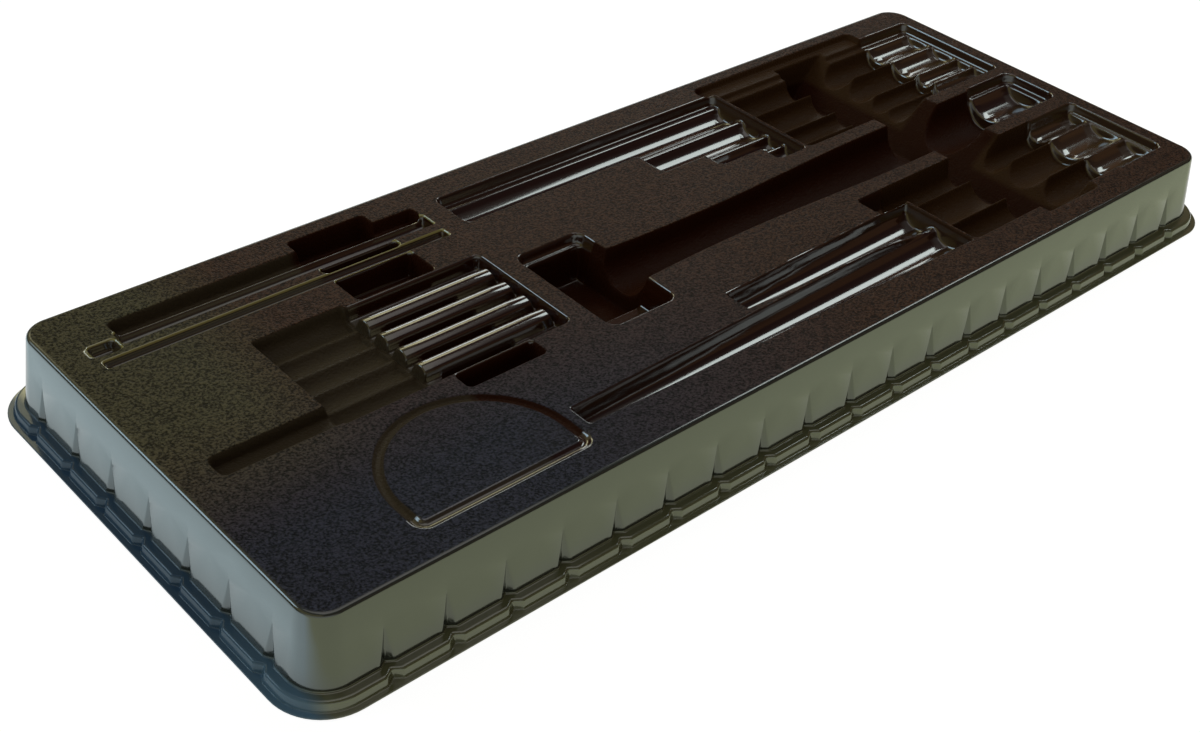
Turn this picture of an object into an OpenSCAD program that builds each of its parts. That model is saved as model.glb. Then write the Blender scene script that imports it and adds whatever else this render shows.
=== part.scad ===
// Tool insert tray: one sheet of thin black plastic, vacuum formed over a mould.
// The deck carries pockets for a hammer, seven handled tools and seven small ones.
// X runs along the tray, Y across it and Z up, from the middle of the footprint on the floor.

/* [Sheet] */
// Length of the deck between its two short walls
deck_l = 560; // [560:1:620]
// Width of the deck between its two long walls
deck_w = 214; // [214:1:260]
// Height of the deck over the floor
deck_h = 39.4; // [36:0.2:60]
// Thickness of the formed sheet
sheet_t = 0.8; // [0.5:0.1:1.2]
// Radius of the deck's corners in plan
corner_r = 12; // [8:0.5:20]
// Radius of the bend between the deck and the walls
edge_r = 2; // [1.4:0.1:3]

/* [Skirt and flange] */
// How far the long and short walls lean out from the deck down to the ledge
wall_lean = 3.5; // [1:0.1:6]
// Height of the narrow ledge over the floor
ledge_h = 6.3; // [4:0.1:9]
// Width of the ledge
ledge_w = 5.4; // [3:0.1:8]
// How far the step below the ledge leans out
step_lean = 0.6; // [0.2:0.1:1.5]
// Width of the flat lip that lies on the floor
lip_w = 2.6; // [1.5:0.1:6]

/* [Flutes] */
// Flutes pressed into each long wall
long_flutes = 19; // [3:1:24]
// Flutes pressed into each short wall
short_flutes = 7; // [2:1:9]
// Distance from one flute to the next
flute_pitch = 28; // [20:0.5:29]
// Height of a flute's pointed tip over the floor
flute_tip_h = 24; // [14:0.5:32]
// Width of a flute at the ledge
flute_w = 7; // [5:0.5:14]

/* [Pocket walls] */
// Draft of the pocket walls, in degrees from upright
draft = 7; // [3:0.5:12]
// Radius of the pockets' corners in plan
pocket_r = 3; // [1:0.1:3.4]
// Depth of the shelf that runs round the channels
shelf_d = 5; // [3.5:0.1:6]
// Width of the flat top of the ridge between two handle channels
ridge_w = 0.8; // [0.5:0.1:1.4]
// How much narrower than the handle channels the blade channels are
blade_play = 0.8; // [0.4:0.1:1.5]

/* [Screwdrivers at the back] */
// Width of each screwdriver's channel, from the back one to the front one
driver_w = [18.5, 19.3, 11.8, 12.6];
// Distance from the left end of each blade pocket to the tray's centre
driver_x = [-77.5, 31, 60, 89];
// Back edge of the screwdriver pockets
driver_back_y = 88.5; // [86:0.5:90]
// Flat strip of shelf between the back wall and the first channel
driver_strip = 4.8; // [3:0.1:7]
// Depth of the blade channels under the deck
blade_d = 9.5; // [7:0.1:12]
// Depth of the handle channels under the deck
handle_d = 14; // [12:0.1:18]
// Right end of the blade channels
blade_end_x = 109; // [104:0.5:114]
// Width of the bridge between the blade pockets and the handle pockets
bridge_w = 2.2; // [1.8:0.1:4]
// Left end of the cells that hold the handles' tips
cell_x = 232; // [228:0.5:236]
// Right end of the cells that hold the handles' tips
cell_end_x = 270; // [262:0.5:272]
// Depth of the shallow finger step behind the handles
back_step_d = 3; // [2:0.1:5]
// Back edge of the finger step behind the handles
back_step_y = 98; // [94:0.5:100]

/* [Chisels at the front] */
// Width of each chisel's channel, from the back one to the front one
chisel_w = [14, 23, 19.5];
// Back edge of the chisel pockets
chisel_back_y = -31; // [-33:0.5:-30]
// Left end of the short chisel's pocket
stub_x = 90; // [84:0.5:96]
// Left end of the middle chisel's blade pocket
mid_blade_x = -21; // [-40:1:0]
// Left end of the long chisel's blade pocket
long_blade_x = -131; // [-136:1:-100]
// Front and back edge of the middle chisel's blade pocket, at its left and right end
mid_blade_left = [-63, -50];
mid_blade_right = [-66, -46];
// Front and back edge of the long chisel's blade pocket, at its left and right end
long_blade_left = [-81.5, -70];
long_blade_right = [-87, -65];

/* [Hammer] */
// Middle of the hammer's handle, across the tray
hammer_y = -5; // [-6:0.5:-4]
// Width of the handle pocket at its waist
waist_w = 23.5; // [20:0.5:26]
// Width of the handle pocket at its grip
grip_w = 31; // [27:0.5:33]
// Depth of the handle pocket
hammer_d = 17; // [14:0.5:20]
// Left end of the head pocket
head_x = -79; // [-86:0.5:-76]
// Width of the head pocket, along the tray
head_w = 38; // [34:0.5:42]
// Length of the head pocket, across the tray
head_l = 66; // [60:0.5:68]
// Depth of the head pocket's middle
head_d = 22; // [18:0.5:26]
// Depth of the head pocket's front, under the striking face
face_d = 14; // [10:0.5:16]
// Width of the shelf round the head pocket's deep part
head_shelf = 3; // [2:0.5:5]
// Length of the deep part in front of the handle's middle line, doubled
face_l = 32; // [28:0.5:40]
// How much the handle pocket flares where it meets the head
neck_flare = 1.8; // [0.5:0.1:2.5]
// Place of the handle's waist, along the tray
waist_x = 20; // [0:1:40]
// Place where the grip reaches its full width, along the tray
grip_x = 145; // [120:1:158]

/* [Finger trough at the right] */
// Left edge of the trough
trough_x = 163; // [158:0.5:168]
// Width of the trough at the deck
trough_w = 42; // [36:0.5:46]
// Width of the trough at its bottom
trough_floor_w = 17; // [12:0.5:22]
// Depth of the trough under the deck
trough_d = 24; // [20:0.5:28]
// Length of the trough, across the tray
trough_l = 187; // [182:0.5:190]

/* [Small tools at the left] */
// Slots for small tools
small_slots = 5; // [2:1:5]
// Distance from one small slot to the next
slot_pitch = 13; // [12:0.1:14]
// Width of a small slot at its bottom
slot_w = 3.6; // [2.5:0.1:4.5]
// Depth of a small slot under the deck
slot_d = 7; // [5:0.1:9]
// Left end of the small tools' handle pocket
small_x = -208.5; // [-212:0.5:-204]
// Where the small handles end and the blade slots start
slot_x = -162; // [-166:0.5:-158]
// Right end of the blade slots
slot_end_x = -91; // [-96:0.5:-86]
// Back edge of the small tools' pocket
small_back_y = 40; // [38:0.5:42]
// Depth of the small handles' channels under the deck
small_handle_d = 8; // [6.5:0.1:10]
// Length of the long narrow slot beside the small handles
side_slot_l = 54; // [40:1:56]
// Width of that slot
side_slot_w = 12; // [10:0.5:13]
// Depth of that slot under the deck
side_slot_d = 6; // [5:0.1:8]
// Depth of the rounded ribs' tops under the deck
rib_top_d = 1.2; // [0.9:0.1:2]

/* [Long pockets at the left] */
// Right end of the long grooves
groove_end_x = -92; // [-96:0.5:-88]
// Length and width of the back groove
back_groove = [157, 7.5];
// Length and width of the front groove
front_groove = [170, 4];
// Middle of the back groove, across the tray
back_groove_y = 76.7; // [76:0.1:77.5]
// Middle of the front groove, across the tray
front_groove_y = 63.5; // [62.5:0.1:64.5]
// Depth of the back groove under the deck
groove_d = 5; // [4.2:0.1:6]
// Width of the long slot behind the grooves
slot_behind_w = 7.5; // [6:0.1:8.5]
// Depth of the long slot behind the grooves
slot_behind_d = 6; // [4:0.1:8]
// Distance from the back groove's middle to the slot behind it
slot_behind_gap = 4.4; // [4.2:0.1:5]
// Front and back edge of the short pocket at the front groove's left end
end_pocket_y = [70, 78];

/* [Finger scoop at the left] */
// Left edge of the scoop
scoop_x = -155; // [-158:0.5:-152]
// Width of the scoop
scoop_w = 41; // [36:0.5:44]
// Depth of the scoop under the deck
scoop_d = 12; // [9:0.1:15]
// Back edge of the scoop
scoop_back_y = 97; // [95:0.5:99]
// Front edge of the scoop
scoop_front_y = -35; // [-36:0.5:-33]

/* [Arched panel] */
// Middle of the bare arched panel, along the tray
panel_x = -180; // [-184:0.5:-176]
// Bottom edge of the arched panel
panel_y = -92; // [-94:0.5:-90]
// Width of the arched panel
panel_w = 86; // [70:0.5:88]
// Height of the arched panel, across the tray
panel_h = 59; // [54:0.5:60]
// Radius of the arched panel's bottom corners
panel_corner_r = 6; // [5:0.5:10]
// Width of the groove that borders the arched panel
panel_groove_w = 4; // [3:0.1:5]
// Depth of the groove that borders the arched panel
panel_groove_d = 1.4; // [0.8:0.1:2]

/* [Hidden] */
// How far a cut runs past the surface it opens
over = 1;
// Cone-shaped lengths that make up the hammer's handle
handle_steps = 14;
// Sides of the round channels
round_fn = 96;
// Points on a quarter of a rounded corner
corner_steps = 3;
// Left end of the handle pockets, past the bridge
handle_x = blade_end_x + bridge_w;
// Gap between a channel's end and the end of the shelf that it is cut into
end_gap = 3;
// How far the finger step laps over the handle pocket, and reaches past its left end
step_lap = 6;
step_overhang = 8;
// Width of deck or shelf left between two pockets that nearly meet
rim_gap = 0.8;
// Overlap of two pockets that open into one another
lap = 2;
// Share of a blade pocket's width that its round channel takes
blade_share = 0.84;
// Radius of the hammer's head pocket and of its grip's cell at their corners
head_r = 5;
cell_r = 6;
// Step left round the deeper pockets under the hammer's head
head_step = 1;
// Overlap of the hammer's handle pocket and its head pocket
handle_lap = 4;
// How far the hammer's grip end is narrower than its grip, and its channel deeper than a blade's
grip_taper = 6;
grip_end_d = blade_d + 2;
// Lean of the finger trough's upright side
trough_lean = 2;
// Overlap of the slots' pocket and the small handles' pocket, and the ridge between two handles
slot_lap = 3;
small_ridge_w = 1.5;
// Gap between the ribs and the right end of their pocket
rib_gap = 2.5;
// Height of a rib's rounded top, how far its root spreads, and how far it goes into the floor
rib_round = 2;
rib_spread = 1;
rib_root = 3;
// Place of the back small slot's middle, as a share of the pitch from the back edge
first_slot = 0.37;
// Corner radius of the narrow slots
slot_r = 2;
// Banks that carry the back and the front groove over the scoop, from the groove's middle
back_bank = 5;
front_bank = 3.5;
// Depth of a narrow stretch of the scoop for each millimetre of its width
scoop_depth_ratio = 4;
// Play of a small slot where it crosses the scoop
scoop_play = 0.5;
// Lean of the walls per millimetre of height
wall_slope = wall_lean / (deck_h - ledge_h);
// Outward reach of each fold of the skirt from the deck's edge
ledge_out = wall_lean + ledge_w;
step_out = ledge_out + step_lean;
lip_out = step_out + lip_w;
// Depth of a flute at the ledge, where its upright bottom is furthest inside the leaning wall
flute_d = (flute_tip_h - ledge_h) * wall_slope;
// Middle of each back screwdriver and each front chisel, across the tray
driver_y = [for (i = [0 : len(driver_w) - 1])
    driver_back_y - driver_strip - sum_to(driver_w, i) - driver_w[i] / 2];
chisel_y = [for (i = [0 : len(chisel_w) - 1])
    chisel_back_y - sum_to(chisel_w, i) - chisel_w[i] / 2];
// Middle of each small slot, across the tray
slot_y = [for (i = [0 : small_slots - 1]) small_back_y - slot_pitch * (i + first_slot)];
small_front_y = small_back_y - slot_pitch * small_slots + small_ridge_w;
trough_mid_y = 0;

function sum_to(list, n) = n <= 0 ? 0 : list[n - 1] + sum_to(list, n - 1);

// Points of a rectangle with rounded corners, about the origin
function rounded(size, r) = [
    for (quarter = [0 : 3], step = [0 : corner_steps])
        let (sx = (quarter == 0 || quarter == 3) ? 1 : -1,
             sy = quarter < 2 ? 1 : -1,
             turn = 90 * quarter + 90 * step / corner_steps)
        [sx * (size[0] / 2 - r) + r * cos(turn), sy * (size[1] / 2 - r) + r * sin(turn)]];

// A drafted pocket with rounded corners, from one corner of its outline at the deck to the other
module well(from, to, depth, grow, r = pocket_r) {
    size = [to[0] - from[0], to[1] - from[1]];
    deep = depth + grow;
    flare = tan(draft);
    at_floor = [for (s = size) s + 2 * grow - 2 * flare * deep];
    at_top = [for (s = at_floor) s + 2 * flare * (deep + over)];
    translate([(from[0] + to[0]) / 2, (from[1] + to[1]) / 2, deck_h - deep])
        linear_extrude(height = deep + over, slices = 1,
                       scale = [at_top[0] / at_floor[0], at_top[1] / at_floor[1]])
            polygon(rounded(at_floor, min(r, min(at_floor) / 2 - 0.1)));
}

// A round-bottomed channel along the tray; width is measured at the height mouth under the deck
module channel(x_from, x_to, y, width, depth, mouth, grow) {
    sag = depth - mouth;
    r = (width * width / 4 + sag * sag) / (2 * sag);
    translate([x_from - grow, y, deck_h - depth + r])
        rotate([0, 90, 0])
            cylinder(h = x_to - x_from + 2 * grow, r = r + grow, $fn = round_fn);
}

// Section of the tray's outside from the corner's centre line out, as a stack of folds
function skirt_section(grow) = let (
        r = corner_r - grow,
        top = deck_h - grow,
        bend = edge_r - grow,
        base = grow > 0 ? -over : 0,
        out = grow > 0 ? 0 : lip_w)
    concat(
        [[0, base], [r + step_out + out, base]],
        grow > 0 ? [] : [[r + lip_out, sheet_t]],
        [[r + step_out, grow > 0 ? base : sheet_t], [r + ledge_out, ledge_h - grow],
         [r + wall_lean + wall_slope * grow, ledge_h - grow]],
        [for (step = [0 : corner_steps]) let (turn = 90 * step / corner_steps)
            [r - bend + wall_slope * edge_r * (1 - step / corner_steps) + bend * cos(turn),
             top - bend + bend * sin(turn)]],
        [[0, top]]);

// The tray as a solid block, without pockets
module block(grow) {
    half_l = deck_l / 2 - corner_r;
    half_w = deck_w / 2 - corner_r;
    section = skirt_section(grow);
    for (turn = [0, 180]) rotate([0, 0, turn]) {
        translate([half_l, 0, 0]) rotate([90, 0, 0])
            linear_extrude(height = 2 * half_w, center = true) polygon(section);
        translate([0, half_w, 0]) rotate([90, 0, 90])
            linear_extrude(height = 2 * half_l, center = true) polygon(section);
    }
    for (sx = [-1, 1], sy = [-1, 1])
        translate([sx * half_l, sy * half_w, 0])
            rotate([0, 0, sx > 0 ? (sy > 0 ? 0 : -90) : (sy > 0 ? 90 : 180)])
                rotate_extrude(angle = 90, $fn = round_fn) polygon(section);
    base = min([for (p = section) p[1]]);
    translate([-half_l, -half_w, base])
        cube([2 * half_l, 2 * half_w, deck_h - grow - base]);
}

// One flute: an upright V in the wall, and the same V in the step below the ledge
module flute(grow) {
    reach = step_lean + lip_w;
    side = flute_w / 2 / flute_d;
    for (band = [[ledge_h - grow, deck_h, wall_lean], [grow > 0 ? -over : sheet_t, ledge_h, ledge_out]])
        translate([0, 0, band[0]])
            linear_extrude(height = band[1] - band[0])
                polygon([[0, band[2] - flute_d - grow],
                         [-side * (flute_d + reach + grow), band[2] + reach],
                         [side * (flute_d + reach + grow), band[2] + reach]]);
}

module flutes(grow) {
    for (face = [0, 180]) rotate([0, 0, face]) {
        for (i = [0 : long_flutes - 1])
            translate([flute_pitch * (i - (long_flutes - 1) / 2), deck_w / 2, 0]) flute(grow);
        for (i = [0 : short_flutes - 1])
            rotate([0, 0, -90])
                translate([flute_pitch * (i - (short_flutes - 1) / 2), deck_l / 2, 0]) flute(grow);
    }
}

// One handle's channel: deep under the handle, shallow under its tip
module handle_channel(x_from, y, width, grow) {
    channel(x_from + end_gap, cell_x, y, width, handle_d, shelf_d, grow);
    channel(cell_x - over, cell_end_x - end_gap, y, width - blade_play, blade_d, shelf_d, grow);
}

// Four screwdrivers: a shelf that steps with their lengths, and a round channel for each
module screwdriver_pockets(grow) {
    last = len(driver_w) - 1;
    front = driver_y[last] - driver_w[last] / 2;
    for (i = [0 : last]) {
        half = driver_w[i] / 2;
        well([driver_x[i], driver_y[i] - half - ridge_w],
             [blade_end_x, driver_back_y - driver_strip / 2 * i], shelf_d, grow);
        channel(driver_x[i] + end_gap, blade_end_x - end_gap, driver_y[i],
                driver_w[i] - ridge_w - blade_play, blade_d, shelf_d, grow);
        handle_channel(handle_x, driver_y[i], driver_w[i] - ridge_w, grow);
    }
    well([handle_x, front - over], [cell_end_x, driver_back_y], shelf_d, grow);
    well([handle_x, driver_back_y - step_lap], [cell_x - lap, back_step_y], back_step_d, grow);
    well([handle_x - step_overhang, driver_back_y + rim_gap], [cell_x - step_lap, back_step_y],
         back_step_d, grow);
}

// A blade pocket that widens to the right; each end is given as its front and back edge
module blade_pocket(x_from, x_to, left, right, grow) {
    mid = [(x_from + x_to) / 2, (right[0] + right[1]) / 2];
    deep = shelf_d + grow;
    size = [x_to - x_from, right[1] - right[0]];
    flare = [for (s = size) 1 + 2 * tan(draft) * (deep + over) / s];
    translate([mid[0], mid[1], deck_h - deep])
        linear_extrude(height = deep + over, slices = 1, scale = flare)
            polygon([[x_from - grow - mid[0], left[0] - grow - mid[1]],
                     [x_to + grow - mid[0], right[0] - grow - mid[1]],
                     [x_to + grow - mid[0], right[1] + grow - mid[1]],
                     [x_from - grow - mid[0], left[1] + grow - mid[1]]]);
    blade_channel(x_from + end_gap, x_to - end_gap, left, right, grow);
}

// A channel that widens to the right with its blade
module blade_channel(x_from, x_to, left, right, grow) {
    half = [left[1] - left[0], right[1] - right[0]] * blade_share / 2;
    sag = blade_d - shelf_d;
    r = [for (h = half) (h * h + sag * sag) / (2 * sag)];
    run = x_to - x_from;
    rise = r[1] - r[0];
    drift = (right[0] + right[1] - left[0] - left[1]) / 2;
    translate([x_from, (left[0] + left[1]) / 2, deck_h - blade_d + r[0]])
        rotate([0, 90 - atan(rise / run), atan(drift / run)])
            cylinder(h = run / cos(atan(rise / run)), r1 = r[0] + grow, r2 = r[1] + grow, $fn = round_fn);
}

// Three chisels: one short, two with long blades that widen towards the handle
module chisel_pockets(grow) {
    front = chisel_y[2] - chisel_w[2] / 2;
    well([stub_x, chisel_y[0] - chisel_w[0] / 2 + rim_gap], [handle_x + step_overhang, chisel_back_y],
         shelf_d, grow);
    well([handle_x, front], [cell_end_x, chisel_back_y], shelf_d, grow);
    blade_pocket(mid_blade_x, blade_end_x, mid_blade_left, mid_blade_right, grow);
    blade_pocket(long_blade_x, blade_end_x, long_blade_left, long_blade_right, grow);
    for (i = [0 : len(chisel_w) - 1])
        handle_channel(i == 0 ? stub_x : handle_x, chisel_y[i], chisel_w[i] - ridge_w, grow);
}

// Half the width of the hammer's handle: a waist behind the head, a fuller grip at the end
function handle_half(x) = let (along = max(0, min(1, (x - waist_x) / (grip_x - waist_x))))
    waist_w / 2 + (grip_w - waist_w) / 2 * (1 - cos(180 * along)) / 2
    + (x < waist_x ? neck_flare * pow((waist_x - x) / (waist_x - head_x - head_w), 2) : 0);

// The handle pocket is a turned handle's lower half, open to the deck above its middle
module handle_pocket(grow) {
    x_from = head_x + head_w - handle_lap;
    x_to = cell_x + lap;
    stations = [for (i = [0 : handle_steps]) x_from + (x_to - x_from) * i / handle_steps];
    translate([0, hammer_y, deck_h - hammer_d + grip_w / 2]) {
        rotate([0, 90, 0])
            rotate_extrude($fn = round_fn)
                polygon(concat([[0, x_from - grow]], [for (x = stations) [handle_half(x) + grow,
                    x + (x == x_from ? -grow : x == x_to ? grow : 0)]], [[0, x_to + grow]]));
        linear_extrude(height = hammer_d)
            polygon(concat(
                [for (x = stations) [x + (x == x_from ? -grow : x == x_to ? grow : 0),
                    handle_half(x) + grow]],
                [for (i = [handle_steps : -1 : 0]) let (x = stations[i])
                    [x + (x == x_from ? -grow : x == x_to ? grow : 0), -handle_half(x) - grow]]));
    }
}

// The hammer: a head pocket with a deep middle, the handle pocket and a cell for its end
module hammer_pocket(grow) {
    head_end = head_x + head_w;
    back = hammer_y + head_l / 2;
    front = hammer_y - head_l / 2;
    well([head_x, front], [head_end, back], shelf_d, grow, head_r);
    well([head_x + head_shelf, hammer_y - face_l / 2], [head_end - head_step, back - head_shelf],
         head_d, grow);
    well([head_x + head_shelf, front + head_step], [head_end - head_step, hammer_y], face_d, grow);
    handle_pocket(grow);
    well([cell_x - lap, hammer_y - grip_w / 2], [cell_end_x, hammer_y + grip_w / 2 + lap],
         shelf_d, grow, cell_r);
    channel(cell_x, cell_end_x - end_gap - lap, hammer_y + lap / 2, grip_w - grip_taper,
            grip_end_d, shelf_d, grow);
}

// The finger trough: upright on the left, sloped on the right, across all the handles
module finger_trough(grow) {
    slope = (trough_w - trough_floor_w) / trough_d;
    lift = over * slope;
    translate([trough_x, trough_mid_y, deck_h])
        rotate([90, 0, 0])
            linear_extrude(height = trough_l + 2 * grow, center = true)
                polygon([[-grow, over], [-grow + trough_lean, -trough_d - grow],
                         [trough_floor_w + grow, -trough_d - grow],
                         [trough_w + grow + lift, over]]);
}

// Five small tools: round handle channels, then slots between rounded ribs
module small_pockets(grow) {
    difference() {
        well([slot_x - slot_lap, small_front_y], [slot_end_x, small_back_y], slot_d, grow);
        for (i = [0 : small_slots - 2])
            translate([slot_x + grow, (slot_y[i] + slot_y[i + 1]) / 2, deck_h])
                small_rib(slot_end_x - slot_x - rib_gap - 2 * grow, grow);
    }
    well([small_x, small_front_y], [slot_x, small_back_y], shelf_d, grow);
    for (y = slot_y)
        channel(small_x + over, slot_x - slot_lap, y, slot_pitch - small_ridge_w,
                small_handle_d, shelf_d, grow);
    front = slot_y[small_slots - 1];
    well([small_x - side_slot_l, front - side_slot_w / 2], [small_x + 2 * lap, front + side_slot_w / 2],
         side_slot_d, grow);
}

// One rounded rib between two small slots, standing on the pocket's floor
module small_rib(length, grow) {
    half = (slot_pitch - slot_w) / 2 - grow;
    crown = rib_top_d + grow + rib_round;
    rotate([90, 0, 90]) linear_extrude(height = length)
        polygon(concat([[half + rib_spread, -slot_d - rib_root], [half, -crown]],
            [for (step = [1 : corner_steps]) let (turn = 180 * step / (corner_steps + 1))
                [half * cos(turn), -crown + rib_round * sin(turn)]],
            [[-half, -crown], [-half - rib_spread, -slot_d - rib_root]]));
}

// Two long thin tools in grooves, with a slot behind them and a short one beside
module long_pockets(grow) {
    for (g = [[back_groove, back_groove_y], [front_groove, front_groove_y]])
        channel(groove_end_x - g[0][0], groove_end_x, g[1], g[0][1],
                groove_d * g[0][1] / back_groove[1] + over, 0, grow);
    slot_behind_y = back_groove_y + slot_behind_gap;
    well([groove_end_x - back_groove[0], slot_behind_y], [groove_end_x, slot_behind_y + slot_behind_w],
         slot_behind_d, grow, slot_r);
    well([groove_end_x - front_groove[0] - lap, end_pocket_y[0]],
         [groove_end_x - back_groove[0] - end_gap, end_pocket_y[1]], shelf_d, grow, slot_r);
}

// The finger scoop crosses the small pockets; the grooves and ribs bridge it
module finger_scoop(grow) {
    bands = [[back_groove_y + back_bank, scoop_back_y],
             [front_groove_y + front_bank, back_groove_y - back_bank],
             [small_back_y + lap, front_groove_y - front_bank],
             [scoop_front_y, small_front_y - small_ridge_w]];
    for (b = bands)
        well([scoop_x, b[0]], [scoop_x + scoop_w, b[1]],
             min(scoop_d, scoop_depth_ratio * (b[1] - b[0])), grow, slot_r);
    for (y = slot_y)
        well([scoop_x, y - slot_w / 2 - scoop_play], [scoop_x + scoop_w, y + slot_w / 2 + scoop_play],
             scoop_d, grow, small_ridge_w);
}

// The bare arched panel: a groove round a plain field
module arched_panel(grow) {
    translate([panel_x, panel_y, deck_h - panel_groove_d - grow])
        linear_extrude(height = panel_groove_d + grow + over)
            difference() {
                arch(grow);
                arch(-panel_groove_w - grow);
            }
}

module arch(extra) {
    r = panel_w / 2 + extra;
    rise = panel_h - panel_w / 2;
    intersection() {
        union() {
            translate([0, rise]) circle(r, $fn = round_fn);
            translate([-r, -extra]) square([2 * r, rise + extra]);
        }
        translate([0, panel_h])
            polygon(rounded([2 * r, 2 * (panel_h + extra)], panel_corner_r + extra));
    }
}

module pockets(grow) {
    screwdriver_pockets(grow);
    chisel_pockets(grow);
    hammer_pocket(grow);
    finger_trough(grow);
    small_pockets(grow);
    long_pockets(grow);
    finger_scoop(grow);
    arched_panel(grow);
}

// The formed sheet: the block and its pockets, less the same form one sheet thickness inside
module tray() {
    color([0.13, 0.11, 0.10])
        difference() {
            block(0);
            pockets(0);
            flutes(0);
            difference() {
                block(sheet_t);
                pockets(sheet_t);
                flutes(sheet_t);
            }
        }
}

tray();
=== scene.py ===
# Tool insert tray: one sheet of dark plastic, vacuum formed over a mould with pockets for tools.
import math
import bpy
import numpy as np
from mathutils import Matrix, Vector


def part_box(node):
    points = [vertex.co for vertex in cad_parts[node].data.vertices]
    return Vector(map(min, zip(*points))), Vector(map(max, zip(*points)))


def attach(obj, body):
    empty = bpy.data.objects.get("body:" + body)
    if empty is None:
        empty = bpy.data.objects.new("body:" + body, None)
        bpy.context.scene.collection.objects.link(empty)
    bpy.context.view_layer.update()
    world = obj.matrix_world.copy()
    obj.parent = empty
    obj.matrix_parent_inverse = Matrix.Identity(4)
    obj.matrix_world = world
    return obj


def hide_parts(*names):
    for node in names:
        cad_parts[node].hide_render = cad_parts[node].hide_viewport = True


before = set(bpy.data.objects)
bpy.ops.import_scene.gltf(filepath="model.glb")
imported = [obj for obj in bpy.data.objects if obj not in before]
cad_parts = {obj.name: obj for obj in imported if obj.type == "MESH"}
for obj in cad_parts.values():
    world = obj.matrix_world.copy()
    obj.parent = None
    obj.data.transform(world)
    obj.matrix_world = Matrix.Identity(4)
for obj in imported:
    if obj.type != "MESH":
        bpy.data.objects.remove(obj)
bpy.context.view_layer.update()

mm = 0.001
scene = bpy.context.scene


# The photograph's view: from high in front of the tray's left corner, in metres, with a
# slightly long lens. It was fitted to the corners of the deck and of the flange.
cam_place = Vector((-0.4999, -0.4509, 0.4538))
cam_ahead = Vector((0.56981, 0.56691, -0.59492))
cam_up = Vector((0.35662, 0.48165, 0.80053))
cam_lens, cam_reach = 50.32, 50

camera = bpy.data.objects.new("camera", bpy.data.cameras.new("camera"))
camera.data.lens = cam_lens
camera.data.sensor_width = 36
camera.data.clip_end = cam_reach
cam_right = cam_ahead.cross(cam_up)
camera.matrix_world = (Matrix.Translation(cam_place)
                       @ Matrix((cam_right, cam_up, -cam_ahead)).transposed().to_4x4())
scene.collection.objects.link(camera)
scene.camera = camera
scene.view_settings.view_transform = "Standard"


# The mould's form. The sheet was sucked down over it, so the deck has one height at each point.
# It is worked out on a fine grid, in millimetres below the deck, with X along the tray and
# Y across it, and each tool's pocket is pressed into it in turn.
low_corner, high_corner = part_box("tray")
deck_h = high_corner[2] / mm
lip_out = 12.1
half_l = high_corner[0] / mm - lip_out
half_w = high_corner[1] / mm - lip_out
grid_step = 0.4
grid_half_x, grid_half_y = 273.2, 99.6
grid_x = np.arange(-grid_half_x, grid_half_x + grid_step / 2, grid_step)
grid_y = np.arange(-grid_half_y, grid_half_y + grid_step / 2, grid_step)
depth = np.zeros((len(grid_x), len(grid_y)))
mould_draft = math.radians(7)
wall_steepness = 1 / math.tan(mould_draft)
reach = 3.0


def press(form, x0, x1, y0, y1):
    """Presses a form, a function of X and Y, into the part of the grid that it can reach."""
    i0, i1 = np.searchsorted(grid_x, [x0 - reach, x1 + reach])
    j0, j1 = np.searchsorted(grid_y, [y0 - reach, y1 + reach])
    x, y = np.meshgrid(grid_x[i0:i1], grid_y[j0:j1], indexing="ij")
    here = depth[i0:i1, j0:j1]
    np.maximum(here, form(x, y), out=here)


def inside(x, y, x0, x1, y0, y1, r):
    """Distance inwards from the edge of a rectangle with rounded corners."""
    across = np.abs(x - (x0 + x1) / 2) - (x1 - x0) / 2 + r
    along = np.abs(y - (y0 + y1) / 2) - (y1 - y0) / 2 + r
    corner = np.hypot(np.maximum(across, 0), np.maximum(along, 0))
    return r - corner - np.minimum(np.maximum(across, along), 0)


def drafted(distance, floor):
    """A wall with the mould's draft, down to a floor."""
    return np.clip(distance * wall_steepness, 0, floor)


def well(x0, x1, y0, y1, floor, r=3.0):
    """A flat-bottomed pocket with rounded corners."""
    press(lambda x, y: drafted(inside(x, y, x0, x1, y0, y1, r), floor), x0, x1, y0, y1)


def round_channel(x0, x1, y, width, floor, mouth):
    """A round-bottomed channel along the tray; its width is measured at the depth of its mouth."""
    sag = floor - mouth
    r = (width * width / 4 + sag * sag) / (2 * sag)

    def form(x, yy):
        bottom = floor - r + np.sqrt(np.maximum(r * r - (yy - y) ** 2, 0))
        ends = (np.minimum(x - x0, x1 - x) + 1) * wall_steepness
        return np.where(np.abs(yy - y) < r, np.minimum(bottom, ends), 0)
    press(form, x0, x1, y - r, y + r)


# Screwdrivers, at the back: a shelf that steps with their lengths, and a channel for each one,
# deeper under its handle. A bridge parts the blades from the handles, and the handles' ends
# lie in shallower cells. The back edge is cut down over the handles for fingertips.
shelf = 5.0
blade_depth, handle_depth = 9.5, 14.0
blade_end_x, cell_x, cell_end_x = 109.0, 232.0, 270.0
bridge, end_play = 2.2, 2.0
handle_start_x = blade_end_x + bridge
driver_width = [18.5, 19.3, 11.8, 12.6]
driver_x = [-77.5, 31.0, 60.0, 89.0]
driver_back_y, driver_strip = 88.5, 4.8
ridge, cell_lap, cell_play = 0.8, 1.0, 3.0
back_step_y, back_step_depth, back_step_r = 98, 3, 4
back_step_parts = [(handle_start_x - 8, driver_back_y + 0.6), (handle_start_x, driver_back_y - 6)]


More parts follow.
